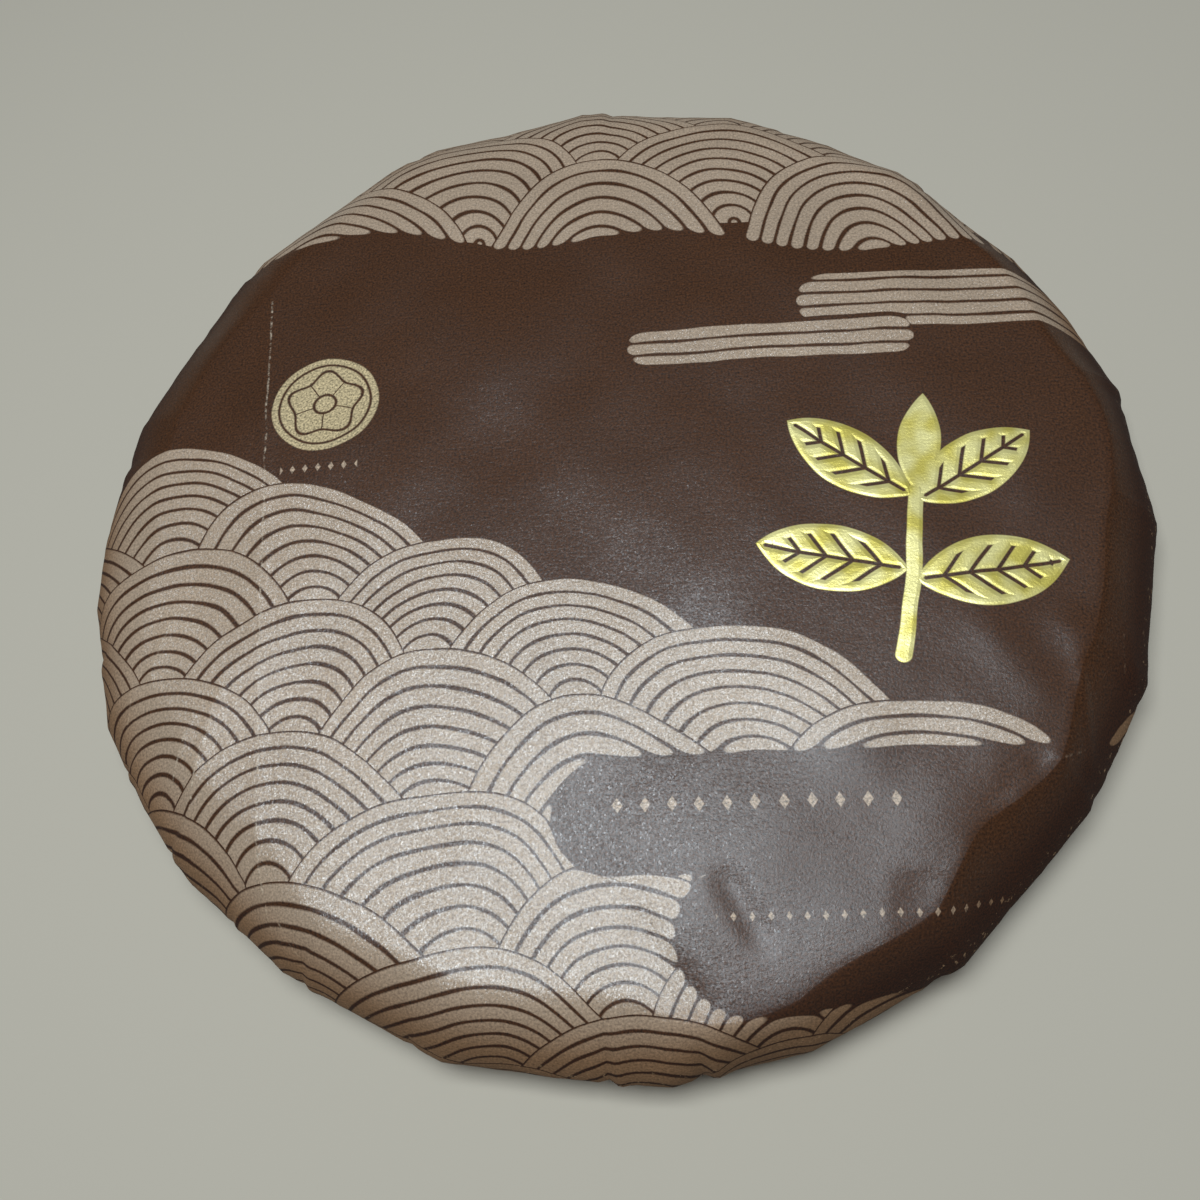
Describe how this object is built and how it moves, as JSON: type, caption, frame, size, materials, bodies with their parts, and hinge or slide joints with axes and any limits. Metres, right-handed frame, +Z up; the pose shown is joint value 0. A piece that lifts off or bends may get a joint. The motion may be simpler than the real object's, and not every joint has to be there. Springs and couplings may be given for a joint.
{
  "type": "pu erh tea cake",
  "caption": "Round pressed tea cake shut in a printed paper wrapper: a domed top, a rim of flat facets, and pleats underneath that turn into a hollow.",
  "frame": {"origin": "the middle of the footprint, on the surface that the cake lies on", "axes": "+Z up through the domed side, +Y towards the top of the print, +X to the print's right"},
  "size_m": [0.1982, 0.199, 0.0271],
  "materials": {
    "printed_paper": "satin pearl paper printed dark brown, with fields of pale tan lines and a sprig in gold foil"
  },
  "bodies": {
    "root": {"wrapped_cake": "printed_paper"}
  },
  "joints": []
}
